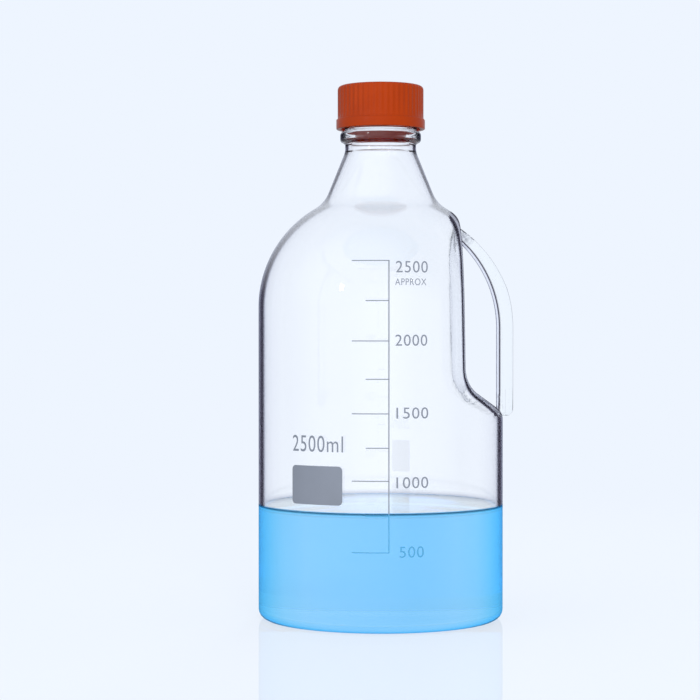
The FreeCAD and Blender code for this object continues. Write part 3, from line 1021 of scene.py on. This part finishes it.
def rollOn(whole, bm, across, height):
    # gives a flat sheet a skin's thickness and rolls it onto the body
    sheet = bmesh.ops.extrude_face_region(bm, geom=bm.faces[:])["geom"]
    raised = {part for part in sheet if isinstance(part, bmesh.types.BMVert)}
    for vertex in bm.verts:
        reach = bottle["radius"] + printing["lift"] + (printing["thickness"] if vertex in raised else 0)
        angle = (across + vertex.co.x) / bottle["radius"]
        vertex.co = (reach * math.sin(angle), -reach * math.cos(angle), height + vertex.co.y)
    rolled = bpy.data.meshes.new("rolled")
    bm.to_mesh(rolled)
    bm.free()
    whole.from_mesh(rolled)


def printedPiece(name, parts, replaced=None):
    # one piece of print from flat parts, each with its place on the body
    whole = bmesh.new()
    for bm, across, height in parts:
        rollOn(whole, bm, across, height)
    piece = meshObject(name, recalculated(whole), [greyEnamel])
    shadeSmooth(piece, 60)
    placePiece(piece, "bottle", replaced)
    piece.visible_glossy = False  # mirrors leave the print out


def scaleParts():
    # the upright line, then a long or a short mark at each height
    size = printing
    low, high = size["marks"][0], size["marks"][-1]
    upright = flatBar(size["lineWidth"], high - low + size["markWidth"])
    parts = [(upright, size["lineX"], (low + high) / 2)]
    for number, height in enumerate(size["marks"]):
        length = size["shortMark"] if number % 2 else size["longMark"]
        across = size["lineX"] - length / 2 - size["lineWidth"] / 2
        parts.append((flatBar(length, size["markWidth"]), across, height))
    return parts


field = printing["field"]
fieldBar = flatBar(field["width"], field["tall"], field["corner"])
numbers = [(flatWords(words, width, tall), x, z) for words, x, z, width, tall in printing["numbers"]]
printedPiece("scale_lines", scaleParts(), "scale_marks")
printedPiece("note_field", [(fieldBar, field["across"], field["height"])], "writing_field")
printedPiece("scale_numbers", numbers)
print("printing done")

studio = {
    "sky": (0.855, 0.913, 1.0),
    "glowSide": (-0.45, -0.80, 0.40),
    "glowTurn": (0.35, 0.95),
    "frontGlow": 0.9,
    "floorRadius": 3.0,
    "floorDrop": 0.0002,
    "floorTint": (0.72, 0.73, 0.74, 1),
    "floorFade": (0.15, 0.9),
    "floorShare": 0.15,
    "floorMirror": 0.13,
    "lightTarget": (0, 0, 0.15),
    "lights": {
        "keyBox": {"place": (-0.86, -1.10, 0.62), "size": (0.08, 0.16), "power": 0.9, "mirrored": True},
        "frontFill": {"place": (0.30, -2.00, 0.40), "size": (0.5, 0.5), "power": 46, "mirrored": False},
        "backFill": {"place": (0.40, 2.00, 0.60), "size": (0.5, 0.5), "power": 22, "mirrored": False},
    },
    "camera": {"place": (-0.0173, -1.132, 0.162), "lens": 102.86, "sensor": 36, "dip": 0.544},
}


def floorMaterial():
    # pale floor that mirrors the bottle faintly and fades into the backdrop far away
    size = studio
    material = emptyMaterial("paleFloor")
    place = addNode(material, "TexCoord", (-900, 0)).outputs["Object"]
    away = addNode(material, "VectorMath", (-700, 0), {"operation": "LENGTH", 0: place}).outputs["Value"]
    near = rangeNode(material, (-500, 0), away, size["floorFade"], (size["floorShare"], 0.0), "SMOOTHSTEP")
    plain = addNode(material, "BsdfDiffuse", (-300, -100), {"Color": size["floorTint"]}).outputs["BSDF"]
    unseen = addNode(material, "BsdfTransparent", (-300, 100)).outputs["BSDF"]
    gloss = {"Color": (1, 1, 1, 1), "Roughness": 0.0}
    mirror = addNode(material, "BsdfGlossy", (-300, -250), gloss).outputs["BSDF"]
    ground = addNode(material, "MixShader", (-80, 0), {0: near, 1: unseen, 2: plain}).outputs["Shader"]
    shares = {0: size["floorMirror"], 1: ground, 2: mirror}
    surface = addNode(material, "MixShader", (120, 0), shares).outputs["Shader"]
    addNode(material, "OutputMaterial", (320, 0), {"Surface": surface})
    return material


disc = bmesh.new()
bmesh.ops.create_circle(disc, cap_ends=True, radius=studio["floorRadius"], segments=96)
bmesh.ops.translate(disc, verts=disc.verts[:], vec=(0, 0, -studio["floorDrop"]))
floor = meshObject("floor", disc, [floorMaterial()])

world = bpy.data.worlds.new("studio")
bpy.context.scene.world = world
world.use_nodes = True
world.node_tree.nodes.clear()
direction = addNode(world, "TexCoord", (-900, 0)).outputs["Generated"]
towards = {"operation": "DOT_PRODUCT", 0: direction, 1: studio["glowSide"]}
toFront = addNode(world, "VectorMath", (-700, 0), towards).outputs["Value"]
glowEnds = (1.0, 1.0 + studio["frontGlow"])
glow = rangeNode(world, (-500, 0), toFront, studio["glowTurn"], glowEnds, "SMOOTHSTEP")
sky = addNode(world, "Background", (-250, 0), {"Color": (*studio["sky"], 1), "Strength": glow})
addNode(world, "OutputWorld", (0, 0), {"Surface": sky.outputs["Background"]})

for lightName, size in studio["lights"].items():
    lamp = bpy.data.lights.new(lightName, "AREA")
    lamp.shape = "RECTANGLE"
    lamp.size, lamp.size_y = size["size"]
    lamp.energy = size["power"]
    light = bpy.data.objects.new(lightName, lamp)
    bpy.context.collection.objects.link(light)
    light.location = size["place"]
    light.visible_glossy = size["mirrored"]
    light.visible_transmission = size["mirrored"]
    aim = Vector(studio["lightTarget"]) - light.location
    light.rotation_euler = aim.to_track_quat("-Z", "Y").to_euler()

view = studio["camera"]
camera = bpy.data.objects.new("camera", bpy.data.cameras.new("camera"))
bpy.context.collection.objects.link(camera)
camera.data.sensor_width = view["sensor"]
camera.data.lens = view["lens"]
camera.location = view["place"]
camera.rotation_euler = (math.radians(90 - view["dip"]), 0, 0)
bpy.context.scene.camera = camera
print("studio ready")
